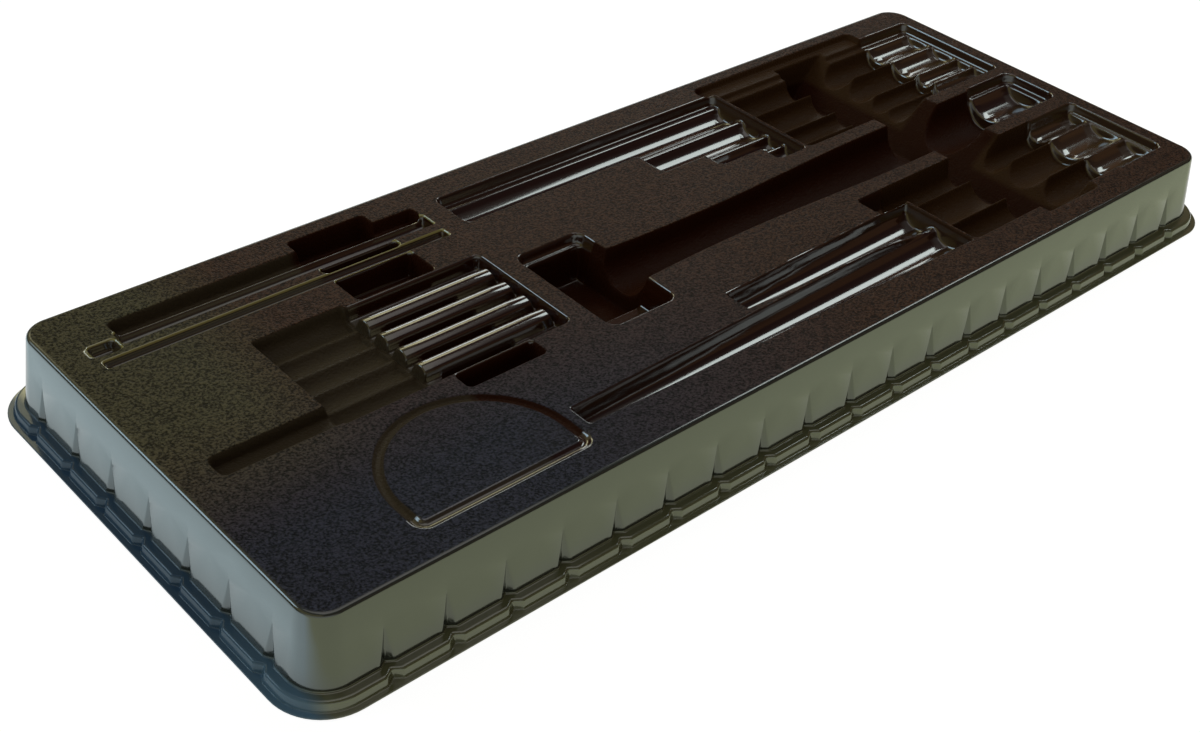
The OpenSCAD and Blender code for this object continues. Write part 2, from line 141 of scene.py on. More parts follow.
def tool_channel(x0, y, width):
    """The channels of one tool: under its blade, under its handle and under the handle's end."""
    if x0 < blade_end_x:
        round_channel(x0, blade_end_x - end_play, y, width - ridge, blade_depth, shelf)
    round_channel(max(x0, handle_start_x) + end_play, cell_x, y, width, handle_depth, shelf)
    round_channel(cell_x - cell_lap, cell_end_x - cell_play, y, width - ridge, blade_depth, shelf)


edge = driver_back_y - driver_strip
for left, width in zip(driver_x, driver_width):
    well(left, blade_end_x, edge - width - ridge, driver_back_y, shelf)
    tool_channel(left + end_play, edge - width / 2, width - ridge)
    edge -= width
driver_front_y = edge
well(handle_start_x, cell_end_x, driver_front_y - 1, driver_back_y, shelf)
for left, front in back_step_parts:
    well(left, cell_x - end_play, front, back_step_y, back_step_depth, back_step_r)


# Chisels, at the front: one short pocket, and two whose blade pockets widen towards the handles.
# Their channels for handles and for handle ends are like those of the screwdrivers.
chisel_width = [14.0, 23.0, 19.5]
chisel_back_y, stub_x = -31.0, 90.0
chisel_front_y = chisel_back_y - sum(chisel_width)
stub_reach = 8
# For each blade pocket: its left end, and its front and back edge at the left and at the right.
chisel_blades = [(-21, (-63, -50), (-66, -46)), (-131, (-81.5, -70), (-87, -65))]
blade_share, blade_end_gap = 0.42, 1


def blade_pocket(x0, x1, left, right):
    """A tapered pocket; left and right are its front and back edge at its two ends."""
    def edges(x):
        t = np.clip((x - x0) / (x1 - x0), 0, 1)
        return left[0] + (right[0] - left[0]) * t, left[1] + (right[1] - left[1]) * t

    def form(x, y):
        front, back = edges(x)
        sides = np.minimum(y - front, back - y)
        distance = np.minimum(sides, np.minimum(x - x0, x1 - x))
        middle = (front + back) / 2
        half = (back - front) * blade_share
        sag = blade_depth - shelf
        r = (half * half + sag * sag) / (2 * sag)
        bottom = blade_depth - r + np.sqrt(np.maximum(r * r - (y - middle) ** 2, 0))
        bottom = np.where(np.abs(y - middle) < half, bottom, 0)
        bottom = np.minimum(bottom, (x - x0 - blade_end_gap) * wall_steepness)
        bottom = np.minimum(bottom, (x1 - blade_end_gap - x) * wall_steepness)
        return np.maximum(drafted(distance, shelf), bottom)
    press(form, x0, x1, min(left[0], right[0]), max(left[1], right[1]))


well(stub_x, handle_start_x + stub_reach,
     chisel_back_y - chisel_width[0] + ridge, chisel_back_y, shelf)
well(handle_start_x, cell_end_x, chisel_front_y, chisel_back_y, shelf)
for blade_x, at_left_end, at_right_end in chisel_blades:
    blade_pocket(blade_x, blade_end_x, at_left_end, at_right_end)
edge = chisel_back_y
for left, width in zip([stub_x, handle_start_x, handle_start_x], chisel_width):
    y = edge - width / 2
    round_channel(left + end_play, cell_x, y, width - ridge, handle_depth, shelf)
    round_channel(cell_x - cell_lap, cell_end_x - cell_play, y, width - 2 * ridge,
                  blade_depth, shelf)
    edge -= width


# The hammer, in the middle: a head pocket that is deepest under the head's middle, a round-bottomed
# pocket for a waisted handle, and a shallower cell for the end of its grip.
hammer_y = -5.0
waist_width, grip_width, hammer_depth = 23.5, 31.0, 17.0
head_x, head_width, head_length = -79.0, 38.0, 66.0
head_depth, face_depth = 22.0, 14.0
waist_x, grip_x, neck_flare = 20.0, 145.0, 1.8
head_end_x = head_x + head_width
head_wall, head_deep_reach, handle_lap = 3, 16, 4
grip_cell_lap, grip_end_width, grip_end_depth = 2, grip_width - 6, blade_depth + 2
most_flare = 1.2


def handle_half(x):
    """Half the width of the handle's pocket: flared at the head, waisted, and wide at the grip."""
    along = np.clip((x - waist_x) / (grip_x - waist_x), 0, 1)
    before = np.clip((waist_x - x) / (waist_x - head_end_x), 0, most_flare)
    return (waist_width / 2 + (grip_width - waist_width) / 2 * (1 - np.cos(math.pi * along)) / 2
            + neck_flare * before ** 2)


def handle_form(x, y):
    """The handle's pocket, round-bottomed like the handle and rounder where that is thinner."""
    off = np.abs(y - hammer_y)
    half = handle_half(x)
    lift = grip_width / 2
    bottom = hammer_depth - lift + np.sqrt(np.maximum(half * half - off * off, 0))
    walls = (half - off) * wall_steepness
    ends = np.minimum(x - head_end_x + handle_lap, cell_x + grip_cell_lap - x) * wall_steepness
    return np.clip(np.minimum(np.minimum(bottom, walls + 1), ends), 0, hammer_depth)


back_y, front_y = hammer_y + head_length / 2, hammer_y - head_length / 2
well(head_x, head_end_x, front_y, back_y, shelf, 5)
well(head_x + head_wall, head_end_x - 1, hammer_y - head_deep_reach, back_y - head_wall, head_depth)
well(head_x + head_wall, head_end_x - 1, front_y + 1, hammer_y, face_depth)
press(handle_form, head_end_x - handle_lap, cell_x + grip_cell_lap,
      hammer_y - grip_width / 2, hammer_y + grip_width / 2)
well(cell_x - grip_cell_lap, cell_end_x, hammer_y - grip_width / 2,
     hammer_y + grip_width / 2 + 2, shelf, 6)
round_channel(cell_x, cell_end_x - 5, hammer_y + 1, grip_end_width, grip_end_depth, shelf)


# The finger trough, at the right: it runs across all the handles, so that fingers can lift them.
# It is upright on its left side and sloped on its right one.
trough_x, trough_width, trough_floor, trough_depth, trough_length = 163.0, 42.0, 17.0, 24.0, 187.0
trough_lean = 2


def trough_form(x, y):
    """The trough, with an upright left side, a sloped right side and drafted ends."""
    left = (x - trough_x) * trough_depth / trough_lean
    right = (trough_x + trough_width - x) * trough_depth / (trough_width - trough_floor)
    ends = (trough_length / 2 - np.abs(y)) * wall_steepness
    return np.clip(np.minimum(np.minimum(left, right), ends), 0, trough_depth)


press(trough_form, trough_x, trough_x + trough_width, -trough_length / 2, trough_length / 2)


# Five small tools, at the left: round channels for their handles, then narrow slots between
# rounded ribs, and a longer slot at the left for the front one.
small_slots, slot_pitch, slot_width, slot_depth = 5, 13.0, 3.6, 7.0
small_x, slot_x, slot_end_x, small_back_y = -208.5, -162.0, -91.0, 40.0
small_play, first_slot = 1.5, 0.37
small_front_y = small_back_y - slot_pitch * small_slots + small_play
slot_y = [small_back_y - slot_pitch * (i + first_slot) for i in range(small_slots)]
small_handle_depth = 8
side_slot_length, side_slot_width, side_slot_depth = 54, 12, 6
rib_crown, rib_round, rib_end = 1.2, 3.2, 2.5
slot_lap, slot_r = 3, 3


def small_form(x, y):
    """The narrow slots, as a well with a rounded rib between each two slots."""
    distance = inside(x, y, slot_x - slot_lap, slot_end_x, small_front_y, small_back_y, slot_r)
    floor = drafted(distance, slot_depth)
    half = (slot_pitch - slot_width) / 2
    for near, far in zip(slot_y, slot_y[1:]):
        off = np.abs(y - (near + far) / 2) / half
        crown = rib_crown + rib_round * (1 - np.sqrt(np.maximum(1 - off * off, 0)))
        end = np.maximum(slot_x - x, x - slot_end_x + rib_end) * wall_steepness
        rib = np.where(off < 1, np.maximum(crown, end), slot_depth)
        floor = np.minimum(floor, rib)
    return floor


press(small_form, slot_x - slot_lap, slot_end_x, small_front_y, small_back_y)
well(small_x, slot_x, small_front_y, small_back_y, shelf)
for y in slot_y:
    round_channel(small_x + 1, slot_x - slot_lap, y, slot_pitch - small_play,
                  small_handle_depth, shelf)
well(small_x - side_slot_length, small_x + 4, slot_y[-1] - side_slot_width / 2,
     slot_y[-1] + side_slot_width / 2, side_slot_depth)


# Two grooves for long thin tools, a slot behind them and a notch at their left end. Scoops cross
# the grooves and the small tools' ribs, so that a finger can lift what lies there.
groove_end_x, back_groove_y, front_groove_y = -92.0, 76.7, 63.5
back_groove_length, back_groove_width, back_groove_depth = 157, 7.5, 6
front_groove_length, front_groove_width, front_groove_depth = 170, 4, 3.7
slot_behind = (back_groove_y + 4.4, back_groove_y + 11.9)
notch = (groove_end_x - 172, groove_end_x - 160, back_groove_y - 6.7, back_groove_y + 1.3)
thin_r = 2
round_channel(groove_end_x - back_groove_length, groove_end_x, back_groove_y,
              back_groove_width, back_groove_depth, 0)
round_channel(groove_end_x - front_groove_length, groove_end_x, front_groove_y,
              front_groove_width, front_groove_depth, 0)
well(groove_end_x - back_groove_length, groove_end_x, *slot_behind, back_groove_depth, thin_r)
well(*notch, shelf, thin_r)

scoop_x, scoop_width, scoop_depth = -155.0, 41.0, 12.0
scoop_steepness, scoop_play, scoop_slot_r = 4, 0.5, 1.5
scoops = [(back_groove_y + 5, 97), (front_groove_y + 3.5, back_groove_y - 5),
          (small_back_y + 2, front_groove_y - 3.5), (-35, small_front_y - small_play)]
for y0, y1 in scoops:
    floor = min(scoop_depth, scoop_steepness * (y1 - y0))
    well(scoop_x, scoop_x + scoop_width, y0, y1, floor, thin_r)
for y in slot_y:
    well(scoop_x, scoop_x + scoop_width, y - slot_width / 2 - scoop_play,
         y + slot_width / 2 + scoop_play, scoop_depth, scoop_slot_r)


# The bare arched panel, at the front left: a shallow groove is pressed round a plain field,
# with a round arch at its back and small round corners at its front.
panel_x, panel_y, panel_width, panel_height = -180.0, -92.0, 86.0, 59.0
panel_corner, panel_groove, panel_groove_depth, panel_groove_slope = 6.0, 4.0, 1.4, 2


def panel_form(x, y):
    """The groove that follows the panel's outline just inside it."""
    r = panel_width / 2
    rise = y - panel_y - (panel_height - r)
    side = r - np.hypot(x - panel_x, np.maximum(rise, 0))
    up = y - panel_y
    corner = panel_corner - np.hypot(panel_corner - np.minimum(side, panel_corner),
                                     panel_corner - np.minimum(up, panel_corner))
    distance = np.minimum(np.minimum(side, up), corner)
    sides = np.minimum(distance, panel_groove - distance) * panel_groove_slope
    return np.clip(sides, 0, panel_groove_depth)


press(panel_form, panel_x - panel_width / 2, panel_x + panel_width / 2,
      panel_y, panel_y + panel_height)


# The sheet bends round each edge of the mould instead of creasing, so the depths are blended
# with those beside them. The underside lies one thickness of sheet inside that surface.
sheet_t = 0.8
bend_weights = np.array([1.0, 2.0, 3.0, 2.0, 1.0])
thickness_reach = int(sheet_t / grid_step)


def shifted(field, i, j):
    """The field moved by whole grid steps, with its edge rows repeated."""
    rows = np.clip(np.arange(field.shape[0]) + i, 0, field.shape[0] - 1)
    columns = np.clip(np.arange(field.shape[1]) + j, 0, field.shape[1] - 1)
    return field[rows][:, columns]


def blended(field, weights):
    """The field with each height mixed with those beside it, along X and then along Y."""
    middle = len(weights) // 2
    for axis in ((1, 0), (0, 1)):
        field = sum(w * shifted(field, axis[0] * (k - middle), axis[1] * (k - middle))
                    for k, w in enumerate(weights)) / sum(weights)
    return field


top = deck_h - blended(depth, bend_weights)
under = top - sheet_t
for i in range(-thickness_reach, thickness_reach + 1):
    for j in range(-thickness_reach, thickness_reach + 1):
        off = math.hypot(i, j) * grid_step
        if off <= sheet_t:
            under = np.minimum(under, shifted(top, i, j) - math.sqrt(sheet_t ** 2 - off ** 2))


flat_share = 0.15


def bend_lines(field, axis, grid, count):
    """Grid lines to keep along one axis: many where the surface bends, few where it is flat."""
    bend = np.abs(np.diff(field, 2, axis=axis))
    need = np.sqrt(np.mean(bend, axis=1 - axis))
    need = np.concatenate([need[:1], need, need[-1:]])
    need = need + flat_share * need.mean()
    run = np.concatenate([[0], np.cumsum((need[1:] + need[:-1]) / 2)])
    picks = np.interp(np.linspace(0, run[-1], count), run, np.arange(len(grid)))
    return np.unique(np.round(picks).astype(int))


def surface(field, count_x, count_y):
    """Points and quads of a height field, and the loop of points round its edge."""
    columns = bend_lines(field, 0, grid_x, count_x)
    rows = bend_lines(field, 1, grid_y, count_y)
    x, y = np.meshgrid(grid_x[columns], grid_y[rows], indexing="ij")
    points = np.stack([x, y, field[np.ix_(columns, rows)]], axis=-1).reshape(-1, 3)
    index = np.arange(len(points)).reshape(len(columns), len(rows))
    quads = np.stack([index[:-1, :-1], index[1:, :-1], index[1:, 1:], index[:-1, 1:]], axis=-1)
    loop = np.concatenate([index[:-1, 0], index[-1, :-1], index[:0:-1, -1], index[0, :0:-1]])
    return points, quads.reshape(-1, 4), loop


# The skirt: a wall that leans out, a narrow ledge, a step and a flat lip, drawn over the
# mould's four sides. Its section is bent round each fold, outside and then back inside.
wall_lean, ledge_h, ledge_w, step_lean = 4.3, 5.2, 4.3, 0.9
corner_r, edge_bend = 12.0, 2.0
wall_slope = wall_lean / (deck_h - ledge_h)
ledge_out = wall_lean + ledge_w
step_out = ledge_out + step_lean
ring_in = -2.6
wall_fold_r, ledge_fold_r, step_fold_r, lip_r = 0.8, 1.5, 0.5, 0.3
under_wall_fold_r, under_edge_r = 1.9, 1.2
fold_steps, tall = 5, 15


def folded(corners):
    """A path through corners given as (out, height, bend radius), with each corner bent."""
    path = [corners[0][:2]]
    for before, (out, z, r), after in zip(corners, corners[1:], corners[2:]):
        here = Vector((out, z))
        a = (Vector(before[:2]) - here).normalized()
        b = (Vector(after[:2]) - here).normalized()
        half_turn = a.angle(b) / 2
        centre = here + (a + b).normalized() * r / math.sin(half_turn)
        start = here + a * r / math.tan(half_turn) - centre
        end = here + b * r / math.tan(half_turn) - centre
        for k in range(fold_steps + 1):
            side = start.normalized().slerp(end.normalized(), k / fold_steps) * r
            path.append(tuple(centre + side))
    path.append(corners[-1][:2])
    return path


flute_tip_h = 24.0
wall_heights = (33.0, 28.0, flute_tip_h + 0.8, flute_tip_h, 21.0, 17.0, 13.0)


def with_heights(path):
    """Adds rows across each long stretch of wall, for the flutes to bend."""
    steps = []
    for p, q in zip(path, path[1:]):
        steps.append(p)
        if abs(p[1] - q[1]) > tall:
            down = p[1] > q[1]
            for z in (wall_heights if down else reversed(wall_heights)):
                t = (z - p[1]) / (q[1] - p[1])
                steps.append((p[0] + (q[0] - p[0]) * t, z))
    steps.append(path[-1])
    return steps


lean_in = wall_slope * sheet_t - sheet_t
folds = folded([(ring_in, deck_h, 0), (0, deck_h, edge_bend), (wall_lean, ledge_h, wall_fold_r),
                (ledge_out, ledge_h, ledge_fold_r), (step_out, sheet_t, step_fold_r),
                (lip_out, sheet_t, lip_r), (lip_out, 0, lip_r), (step_out - sheet_t, 0, lip_r),
                (ledge_out - sheet_t, ledge_h - sheet_t, step_fold_r),
                (wall_lean + lean_in, ledge_h - sheet_t, under_wall_fold_r),
                (lean_in, deck_h - sheet_t, under_edge_r), (ring_in, deck_h - sheet_t, 0)])
section = with_heights(folds)


# Flutes stiffen the walls: 19 along each long side and 7 across each short one. A flute is an
# upright V, pressed in by the mould, that starts in a point on the leaning wall and runs
# through the ledge and the step.
flute_pitch, flute_width = 28.0, 7.0
flute_depth = (flute_tip_h - ledge_h) * wall_slope
half_flute = (0.07, 0.2, 0.5, 0.8, 0.95, 1.1, 1.25, 1.6)
flute_sides = [-side for side in reversed(half_flute)] + list(half_flute)
plain = 9.0  # the side of a point that is in no flute
between_flutes = flute_pitch * 0.36
long_side_flutes, short_side_flutes = 19, 7


def wall_stations(half, count):
    """Places along a wall, each with its side of the flute there: -1 and 1 are its edges."""
    places = [(-half, plain)]
    for k in range(count):
        centre = flute_pitch * (k - (count - 1) / 2)
        places.append((centre - between_flutes, plain))
        places += [(centre, side) for side in flute_sides]
        places.append((centre + between_flutes, plain))
    places.append((half, plain))
    return places


corner_turns = 14
stations = []
sides = [(half_l, half_w, long_side_flutes), (half_w, half_l, short_side_flutes)] * 2
for quarter, (along, away, count) in enumerate(sides):
    turn = Matrix.Rotation(math.pi / 2 * quarter, 2)
    straight = along - corner_r
    for place, side in wall_stations(straight, count):
        stations.append((turn @ Vector((place, -away)), turn @ Vector((0, -1)), side))
    centre = turn @ Vector((straight, -away + corner_r))
    for k in range(1, corner_turns):
        out = turn @ Vector((math.sin(math.pi / 2 * k / corner_turns),
                             -math.cos(math.pi / 2 * k / corner_turns)))
        stations.append((centre + out * corner_r, out, plain))

unpressed_lip = 0.9
skirt_points, flute_side, flute_press, wall_out = [], [], [], []
for base, out, side in stations:
    for step, z in section:
        skirt_points.append((base.x + out.x * step, base.y + out.y * step, z))
        flute_side.append(side)
        flute_press.append(0.0 if step > step_out + unpressed_lip else 1.0)
        wall_out.append((out.x, out.y, 0))
rows = len(section)
count = len(stations)
index = np.arange(rows * count).reshape(count, rows)
following = np.roll(index, -1, axis=0)
skirt_quads = np.stack([index[:, :-1], index[:, 1:], following[:, 1:], following[:, :-1]], axis=-1)


# The deck, its underside and the skirt are joined into one closed sheet by two flat rings,
# since the real tray is one sheet without a seam.
def ring(points, inner, outer_loop, upwards):
    """Triangles between two loops that both run anticlockwise round the tray's middle."""
    def turns(loop):
        x, y = points[loop, 0], points[loop, 1]
        angle = np.arctan2(y / np.abs(y).max(), x / np.abs(x).max())
        first = int(np.argmin(angle))
        return np.roll(loop, -first), np.roll(angle, -first)
    a, angle_a = turns(inner)
    b, angle_b = turns(outer_loop)
    whole_turn = 9
    i = j = 0
    triangles = []
    while i < len(a) or j < len(b):
        next_a = angle_a[i + 1] if i + 1 < len(a) else math.pi + (i + 1 - len(a)) * whole_turn
        next_b = angle_b[j + 1] if j + 1 < len(b) else math.pi + (j + 1 - len(b)) * whole_turn
        here_a, here_b = a[i % len(a)], b[j % len(b)]
        if next_a < next_b:
            triangle = (here_a, here_b, a[(i + 1) % len(a)])
            i += 1
        else:
            triangle = (here_a, here_b, b[(j + 1) % len(b)])
            j += 1
        triangles.append(triangle if upwards else triangle[::-1])
    return triangles


top_lines, under_lines = (620, 340), (300, 180)  # grid lines along and across the tray
top_points, top_quads, top_loop = surface(top, *top_lines)
under_points, under_quads, under_loop = surface(under, *under_lines)
first_under = len(top_points)
first_skirt = first_under + len(under_points)
points = np.concatenate([top_points, under_points, skirt_points])
faces = [tuple(q) for q in top_quads]
faces += [tuple(q[::-1]) for q in under_quads + first_under]
faces += [tuple(q) for q in skirt_quads.reshape(-1, 4) + first_skirt]
faces += ring(points, top_loop, index[:, 0] + first_skirt, True)
faces += ring(points, under_loop + first_under, index[:, -1] + first_skirt, False)

draft_mesh = bpy.data.meshes.new("draft_sheet")
draft_mesh.from_pydata((points * mm).tolist(), [], faces)
draft = bpy.data.objects.new("draft_sheet", draft_mesh)
scene.collection.objects.link(draft)


def mark(name, kind, field, values, otherwise):
    """Stores values on the skirt's points, for the flutes, and another value on the deck's."""
    whole = np.full((len(points),) + np.shape(values)[1:], float(otherwise))
    whole[first_skirt:] = values
    draft_mesh.attributes.new(name, kind, "POINT").data.foreach_set(field, whole.ravel())


mark("flute_side", "FLOAT", "value", flute_side, plain)
mark("flute_press", "FLOAT", "value", flute_press, 0)
mark("wall_out", "FLOAT_VECTOR", "vector", wall_out, 0)


class Link:
    """A socket in a node tree, so that the maths of a tree reads as plain expressions."""

    def __init__(self, tree, socket):
        self.tree, self.socket = tree, socket

    def node(self, kind, settings=(), inputs=(), output=0):
        """A new node; its settings are made first, then its sockets take values or links."""
        made = self.tree.nodes.new(kind)
        for name, value in dict(settings).items():
            setattr(made, name, value)
        for name, value in dict(inputs).items():
            if isinstance(value, Link):
                self.tree.links.new(value.socket, made.inputs[name])
            else:
                made.inputs[name].default_value = value
        return Link(self.tree, made.outputs[output]) if len(made.outputs) else made

    def maths(self, operation, *values, clamp=False):
        return self.node("ShaderNodeMath", {"operation": operation, "use_clamp": clamp},
                         dict(enumerate(values)))

    def vectors(self, operation, inputs):
        return self.node("ShaderNodeVectorMath", {"operation": operation}, inputs)

    def __add__(self, other):
        return self.maths("ADD", self, other)

    def __sub__(self, other):
        return self.maths("SUBTRACT", self, other)

    def __rsub__(self, other):
        return self.maths("SUBTRACT", other, self)

    def __mul__(self, other):
        return self.maths("MULTIPLY", self, other)

    def __truediv__(self, other):
        return self.maths("DIVIDE", self, other)

    __radd__ = __add__
    __rmul__ = __mul__

    def clamped(self):
        return self.maths("ADD", self, 0.0, clamp=True)

    def most(self, other):
        return self.maths("MAXIMUM", self, other)


least_open, edge_rounding, foot_rounding = 0.08, 0.003, 0.15


def press_flutes_tree():
    """Node tree that spreads the marked points of each flute and presses them into the wall."""
    tree = bpy.data.node_groups.new("press_flutes", "GeometryNodeTree")
    for name in ("Sheet", "Tip Height", "Ledge Height", "Flute Width", "Flute Depth", "Finish"):
        kind = {"Sheet": "Geometry", "Finish": "Material"}.get(name, "Float")
        tree.interface.new_socket(name, in_out="INPUT", socket_type="NodeSocket" + kind)
    tree.interface.new_socket("Sheet", in_out="OUTPUT", socket_type="NodeSocketGeometry")
    group = tree.nodes.new("NodeGroupInput")
    given = {socket.name: Link(tree, socket) for socket in group.outputs if socket.name}
    start = given["Sheet"]
    side = start.node("GeometryNodeInputNamedAttribute", {"data_type": "FLOAT"},
                      {"Name": "flute_side"})
    press = start.node("GeometryNodeInputNamedAttribute", {"data_type": "FLOAT"},
                       {"Name": "flute_press"})
    out = start.node("GeometryNodeInputNamedAttribute", {"data_type": "FLOAT_VECTOR"},
                     {"Name": "wall_out"})
    place = start.node("GeometryNodeInputPosition")
    height = start.node("ShaderNodeSeparateXYZ", (), {0: place}, output=2)
    open_part = ((given["Tip Height"] - height)
                 / (given["Tip Height"] - given["Ledge Height"])).clamped()
    in_flute = start.maths("LESS_THAN", side.maths("ABSOLUTE", side), plain / 2)
    spread = side * in_flute * open_part.most(least_open) * given["Flute Width"] * 0.5
    rounded = side.maths("SQRT", side * side + edge_rounding)
    notch = (start.maths("SMOOTH_MAX", 1.0 - rounded, 0.0, foot_rounding)
             * open_part * press * in_flute)
    along = start.vectors("CROSS_PRODUCT", {0: (0.0, 0.0, 1.0), 1: out})
    sideways = start.vectors("SCALE", {0: along, "Scale": spread})
    inwards = start.vectors("SCALE", {0: out, "Scale": notch * given["Flute Depth"] * -1.0})
    move = start.vectors("ADD", {0: sideways, 1: inwards})
    pressed = start.node("GeometryNodeSetPosition", (), {"Geometry": start, "Offset": move})
    real = start.node("GeometryNodeRealizeInstances", (), {"Geometry": pressed})
    done = start.node("GeometryNodeSetMaterial", (),
                      {"Geometry": real, "Material": given["Finish"]})
    end = tree.nodes.new("NodeGroupOutput")
    tree.links.new(done.socket, end.inputs["Sheet"])
    return tree


# The finish of the formed sheet: dark styrene. The mould was grained under the deck and the
# handles, where the plastic is matte, and polished under the blades, where it is glossy.
# The deck's own colour is brown; its bluish front and olive left are painted reflections.
deck_middle, deck_front_painted_reflection = (0.042, 0.020, 0.012, 1), (0.020, 0.021, 0.034, 1)
deck_left_painted_reflection = (0.056, 0.048, 0.026, 1)
# The yellow of the grooves' rims is a painted highlight, the warm lamp's reflection.
groove_rim_painted_highlight = (0.22, 0.19, 0.06, 1)
# The pockets' colours are painted shade, darker than the deck, also under the handles; the left
# pockets' olive is a painted reflection as well.
pocket_shade_colour, left_pocket_shade_and_reflection_colour = (0.022, 0.005, 0.001, 1), (0.042, 0.030, 0.018, 1)
# The ledges' and lips' colours are painted reflections: olive all round, blue at the left and
# lighter blue near the front.
front_lip_painted_reflection, left_lip_painted_reflection = (0.105, 0.108, 0.055, 1), (0.034, 0.068, 0.120, 1)
# A lighter painted reflection on the lip near the front left, and the painted shade of the handles'
# pockets.
near_lip_painted_reflection, handle_pocket_shade_colour = (0.105, 0.190, 0.280, 1), (0.038, 0.017, 0.006, 1)
wall_colour = (0.026, 0.030, 0.025, 1)
grain_size, cloud_size, ripple_size = 950.0, 14.0, 38.0
grain_h, ripple_h = 0.0007, 0.0003
speck_least, speck_range = 0.25, 1.5
glossy_roughness, matte_more, cloud_share = 0.25, 0.13, 0.1
left_lip_dulling = 0.75
rounding = 1.5  # how far in from the deck's outline its edge starts to bend
trough_only = 15.5  # deeper than this under the deck there is only the finger trough

finish = bpy.data.materials.new("formed_sheet")
finish.use_nodes = True
tree = finish.node_tree
tree.nodes.clear()
here = Link(tree, tree.nodes.new("ShaderNodeTexCoord").outputs["Object"])
x, y, z = (here.node("ShaderNodeSeparateXYZ", (), {0: here}, output=k) * (1 / mm) for k in range(3))


def beyond(value, start, soft=1.0):
    """0 before a place and 1 after it, with a short soft change between."""
    return ((value - start) / soft + 0.5).clamped()


def zone(x0, x1, y0, y1, soft=1.0):
    """1 inside a rectangle of the deck and 0 outside it."""
    return (beyond(x, x0, soft) * (1 - beyond(x, x1, soft))
            * beyond(y, y0, soft) * (1 - beyond(y, y1, soft)))


pressed_in = 1 - beyond(z, deck_h - 0.25, 0.3)
past_x, past_y = (p.maths("MAXIMUM", p.maths("ABSOLUTE", p) - (half - corner_r), 0.0)
                  for p, half in ((x, half_l), (y, half_w)))
on_deck = 1 - beyond(here.maths("SQRT", past_x * past_x + past_y * past_y), corner_r - rounding)
groove_zone = (-266, -89, 58, 83)
polished_zones = [
    (-80, blade_end_x, 17, 92), (-134, blade_end_x, -91, -42), (88, blade_end_x, -48, -28),
    groove_zone, (slot_x, -88, -26, 43), (cell_x - 1, cell_end_x + 3, -92, 92),
    (-226, -134, -95, -84),  # the front of the arched panel's groove
    (-83, -38, -42, -19), (-83, -38, 19, 32)]  # the two ends of the hammer's head
polished = zone(*polished_zones[0])
for edges in polished_zones[1:]:
    polished = polished.most(zone(*edges))
polished = polished * (1 - beyond(z, deck_h - 0.03, 0.03))
skirt = 1 - on_deck

grain_noise = here.node("ShaderNodeTexNoise", (), {"Vector": here, "Scale": grain_size,
                                                   "Detail": 3.0, "Roughness": 0.6})
cloud_noise = here.node("ShaderNodeTexNoise", (),
                        {"Vector": here, "Scale": cloud_size, "Detail": 2.0})
ripple_noise = here.node("ShaderNodeTexNoise", (),
                         {"Vector": here, "Scale": ripple_size, "Detail": 1.0})


def mixed(share, a, b, near=here):
    """Colour a where the share is 0 and colour b where it is 1, in the tree that near is in."""
    return near.node("ShaderNodeMix", {"data_type": "RGBA"}, {0: share, 6: a, 7: b}, output=2)


# The deck's bluish front and olive left are painted reflections, mixed into its brown.
front_reflection_share = (1 - beyond(y, -30, 70)) * (1 - beyond(x, -70, 180))
left_reflection_share = (1 - beyond(x, -212, 40)) * beyond(y, -20, 60)
colour = mixed(left_reflection_share, mixed(front_reflection_share, deck_middle, deck_front_painted_reflection), deck_left_painted_reflection)
specks = speck_least + beyond(grain_noise, 0.5, 0.2) * speck_range
colour = here.vectors("SCALE", {0: colour, "Scale": specks})
# Painted shade in the pockets: darker than the deck, brown under the handles and, at the left,
# olive with a painted reflection.
at_handles = (beyond(x, blade_end_x, 4) * beyond(z, deck_h - trough_only, 2)
              * (beyond(y, 20, 3) + (1 - beyond(y, -28, 3))))
painted_pocket_shade = mixed(beyond(x, -158, 4), left_pocket_shade_and_reflection_colour, pocket_shade_colour)
painted_pocket_shade = mixed(at_handles, painted_pocket_shade, handle_pocket_shade_colour)
colour = mixed(pressed_in * on_deck, colour, painted_pocket_shade)
# A painted highlight on the long grooves' rims, where they are polished.
groove_rim_highlight_share = zone(*groove_zone) * polished * beyond(z, deck_h - 0.8, 0.4)
colour = mixed(groove_rim_highlight_share, colour, groove_rim_painted_highlight)
colour = mixed(skirt, colour, wall_colour)
# Painted reflections on the ledges and lips, olive all round and bluish at the left.
ledge_and_lip = 1 - beyond(z, ledge_h + 0.6)
left_lip = (1 - beyond(x, -half_l - wall_lean + 3, 6)) * ledge_and_lip
colour = mixed(ledge_and_lip, colour, front_lip_painted_reflection)
left_lip_reflection_mix = mixed(beyond(y, -85, 80), near_lip_painted_reflection, left_lip_painted_reflection)
colour = mixed(left_lip, colour, left_lip_reflection_mix)
matte = (1 - polished) * (1 - skirt)
roughness = glossy_roughness + matte * matte_more + (cloud_noise - 0.5) * cloud_share
grain_height = ((grain_noise - 0.5) * matte * grain_h
                + (ripple_noise - 0.5) * (1 - matte) * ripple_h)
bump = here.node("ShaderNodeBump", (), {"Height": grain_height, "Distance": 1.0, "Strength": 1.0})
plastic = here.node("ShaderNodeBsdfPrincipled", (), {
    "Base Color": colour, "Roughness": roughness, "Normal": bump, "IOR": 1.45,
    "Specular IOR Level": 0.05,
    "Coat Weight": (1 - matte) * (1 - left_lip * left_lip_dulling),
    "Coat IOR": 1.85, "Coat Roughness": 0.12})
tree.links.new(plastic.socket, tree.nodes.new("ShaderNodeOutputMaterial").inputs["Surface"])


